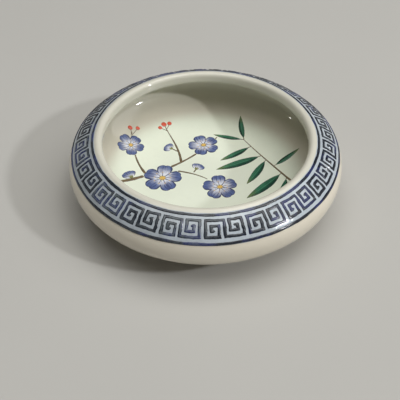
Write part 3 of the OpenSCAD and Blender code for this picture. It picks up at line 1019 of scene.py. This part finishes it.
class WASHER_OT_painting(bpy.types.Operator):
    """Lays the enamel sprigs on the floor and the lower wall"""

    bl_idname = "washer.painting"
    bl_label = "Enamel Sprigs"

    def execute(self, context):
        b, c, o = settings(context)
        p = context.scene.washer_painting
        reach, t = b.mouth_d / 2, p.paint_t
        tree = laid_inside()

        def lay(name, coats, seats, material, slot, *nodes):
            shape = coats.piece(name + "_shape")
            piece = new_piece(name, [(x, y, 0.0) for x, y, size, turn in seats], [], {
                "size": [seat[2] for seat in seats],
                "turn": [radians(seat[3]) for seat in seats]})
            run_tree(piece, tree, {
                "Shape": shape, "Flat Radius": o.foot_in, "Wall Radius": o.lower_r - b.wall_t,
                "Floor": o.floor_z, "Seed": p.seed, "Enamel": material})
            bpy.data.objects.remove(shape)
            settle(piece, None, slot, *nodes)

        def placed(table, unit):
            return [(x * reach, y * reach, size * unit, turn) for x, y, size, turn in table]

        def fanned(seats, turns):
            return [(x, y, size, turn + more) for x, y, size, turn in seats for more in turns]

        places, buds = placed(BLOSSOMS, p.blossom_d), placed(BUDS, p.blossom_d)
        petal = Coats(shifted(blade_rows(0.415, 0.2, 0.64, t, 3, notch=0.07), PETAL_START))
        petals = fanned(places, range(0, 360, 72)) + fanned(buds, (-26, 26, 0))
        lay("blossom_petals", petal, petals, petal_finish("petal_enamel", c),
            "petal_blue", "petal_enamel")

        heart = Coats(shifted(blade_rows(2 * HEART_R, HEART_R, 0.5, t * 1.2, 5), -HEART_R))
        wires = Coats()
        for k in range(STAMENS):
            a = 2 * pi * k / STAMENS + 0.25 * wobble(4, k)
            near, far = 0.07, 0.215 + 0.035 * wobble(8, k * 1.7)
            stops = [near + (far - near) * i / 6 for i in range(7)]
            line = [(cos(a) * r, sin(a) * r) for r in stops]
            wires.add(stroke_rows(line, [DOT_R / 2] * 7, t * 1.25, k, 5, False))
            dot = blade_rows(2 * DOT_R, DOT_R, 0.5, t * 1.4, k, rows=7, columns=5)
            heart.add(shifted(dot, cos(a) * far - DOT_R, sin(a) * far))
        lay("blossom_hearts", heart, places, plain_enamel("pollen_enamel", c.pollen, 0.6, 1500),
            "pollen_ochre", "pollen_enamel")
        lay("stamen_lines", wires, places, plain_enamel("stamen_ink", c.petal_deep, 0.5, 900),
            "petal_blue")

        half = p.leaf_w / p.leaf_l / 2
        blade = Coats(blade_rows(1.0, half, 0.45, t, 7, point=0.9, bend=0.22 * half, rows=30))
        leaves = placed(LEAVES, p.leaf_l)
        lay("long_leaves", blade, leaves, leaf_finish("leaf_enamel", c),
            "leaf_green", "leaf_enamel")

        berry = Coats(shifted(blade_rows(1.0, 0.5, 0.5, t * 1.4, 9), -0.5))
        lay("red_berries", berry, placed(BERRIES, p.berry_d),
            plain_enamel("berry_enamel", c.berry, 0.6, 900), "berry_red", "berry_enamel")

        twigs = Coats()
        for i, ctrl in enumerate(TWIGS):
            width = p.twig_w * (1.0 if i == 0 else 0.6)
            run = []
            for k in range(TWIG_STEPS + 1):
                s = k / TWIG_STEPS
                shares = ((1 - s) ** 3, 3 * s * (1 - s) ** 2, 3 * s * s * (1 - s), s**3)
                x, y = (sum(w * q[d] for w, q in zip(shares, ctrl)) * reach for d in (0, 1))
                clear = all(dist((x, y), seat[:2]) > CLEAR * seat[2] for seat in places)
                if clear:
                    run.append((x, y, width * (1 - 0.75 * k / TWIG_STEPS) / 2))
                if run and (not clear or k == TWIG_STEPS):
                    if len(run) > 3:
                        line, halves = [q[:2] for q in run], [q[2] for q in run]
                        twigs.add(stroke_rows(line, halves, t, i + p.seed))
                    run = []
        for i, (x, y, size, turn) in enumerate(leaves):
            a = radians(turn)
            stops = [LEAF_STALK - LEAF_STEP * k for k in range(8)]
            line = [(x - cos(a) * r, y - sin(a) * r) for r in stops]
            twigs.add(stroke_rows(line, [LEAF_HALF] * 8, t, i, 5, False))
        stalks = [(tip, root, STALK_HALF) for tip, root in zip(BERRIES, STALKS)]
        stalks += [(tip, root, STEM_HALF) for tip, root in zip(BUDS, STEMS)]
        for i, (tip, root, w) in enumerate(stalks):
            bow = 0.12 * wobble(6, i * 2.3)
            dx, dy = tip[0] - root[0], tip[1] - root[1]
            line = []
            for u in (k / 9 for k in range(10)):
                sway = sin(pi * u)
                line.append(((root[0] + dx * u - dy * bow * sway) * reach,
                             (root[1] + dy * u + dx * bow * sway) * reach))
            twigs.add(stroke_rows(line, [w] * 10, t * 0.9, i, 5, False))
        lay("brown_twigs", twigs, [(0, 0, 1, 0)], plain_enamel("twig_enamel", c.twig, 0.35, 500),
            "twig_brown", "twig_enamel")

        cup = Coats(blade_rows(0.24, 0.05, 0.4, t * 1.3, 12, point=0.7, rows=9, columns=5))
        lay("bud_cups", cup, fanned(buds, (-30, 0, 30)),
            plain_enamel("cup_enamel", c.olive, 0.4, 900), "leaf_green")
        return {"FINISHED"}


class WASHER_OT_stage(bpy.types.Operator):
    """Sets the pale floor that sweeps up at its edge, the soft lamps and the camera"""

    bl_idname = "washer.stage"
    bl_label = "Floor, Lamps and Camera"

    def execute(self, context):
        scene, c = context.scene, context.scene.washer_colours
        f = Finish("pale_floor")
        f.shader.inputs["Roughness"].default_value = 0.9
        soft = f.at.clouds(9, 3).span(0.2, 0.8)
        f.feed("Base Color", soft.blend(rgba(c.floor, 0.985), rgba(c.floor, 1.01)))
        out, up = STAGE_FLAT + STAGE_SWEEP + STAGE_T, STAGE_SWEEP
        sweep = [(0, 0), (STAGE_FLAT / 2, 0)]
        sweep += [(STAGE_FLAT + up * sin(a), up - up * cos(a)) for a in quarter(16)]
        sweep += [(out, up), (out, -STAGE_T), (0, -STAGE_T)]
        floor = revolved("floor", sweep, FLOOR_TURNS)
        floor.data.materials.append(f.material)

        for name, place, size, watts, colour in LAMPS:
            light = bpy.data.lights.new(name, "AREA")
            light.shape, light.size, light.energy, light.color = "DISK", size, watts, colour
            lamp = bpy.data.objects.new(name, light)
            lamp.location = place
            aim = Vector(LAMP_AIM) - Vector(place)
            lamp.rotation_euler = aim.to_track_quat("-Z", "Y").to_euler()
            scene.collection.objects.link(lamp)
        scene.world = bpy.data.worlds.new("room")
        scene.world.use_nodes = True
        room = scene.world.node_tree.nodes["Background"].inputs
        room["Color"].default_value, room["Strength"].default_value = ROOM_COLOUR, ROOM_LIGHT
        scene.view_settings.view_transform = "Standard"

        lens = bpy.data.cameras.new("camera")
        lens.sensor_width, lens.lens, lens.clip_start = SENSOR, LENS, NEAREST
        camera = bpy.data.objects.new("camera", lens)
        camera.location = CAMERA_AT
        camera.rotation_euler = [radians(v) for v in CAMERA_TURN]
        scene.collection.objects.link(camera)
        scene.camera = camera
        return {"FINISHED"}


class WASHER_PT_panel(bpy.types.Panel):
    """Sizes, colours and steps of the washer"""

    bl_idname = "WASHER_PT_panel"
    bl_label = "Brush Washer"
    bl_space_type = "VIEW_3D"
    bl_region_type = "UI"
    bl_category = "Washer"

    def draw(self, context):
        for group, title in GROUPS.values():
            box = self.layout.box()
            box.label(text=title)
            values = getattr(context.scene, group)
            for key in values.__annotations__:
                box.prop(values, key)
        for step in STEPS:
            self.layout.operator(step.bl_idname)


GROUPS = {WasherBody: ("washer_body", "Body"), WasherBand: ("washer_band", "Band"),
          WasherPainting: ("washer_painting", "Painting"),
          WasherColours: ("washer_colours", "Colours")}
STEPS = (WASHER_OT_body, WASHER_OT_glaze, WASHER_OT_band, WASHER_OT_fret, WASHER_OT_painting,
         WASHER_OT_stage)
add_classes, drop_classes = bpy.utils.register_classes_factory((*GROUPS, *STEPS, WASHER_PT_panel))


def register():
    add_classes()
    for group, (name, title) in GROUPS.items():
        setattr(bpy.types.Scene, name, PointerProperty(type=group, name=title))


def unregister():
    for name, title in GROUPS.values():
        delattr(bpy.types.Scene, name)
    drop_classes()


def main():
    register()
    bpy.ops.washer.body()
    bpy.ops.washer.glaze()
    bpy.ops.washer.band()
    bpy.ops.washer.fret()
    bpy.ops.washer.painting()
    bpy.ops.washer.stage()


if __name__ == "__main__":
    main()
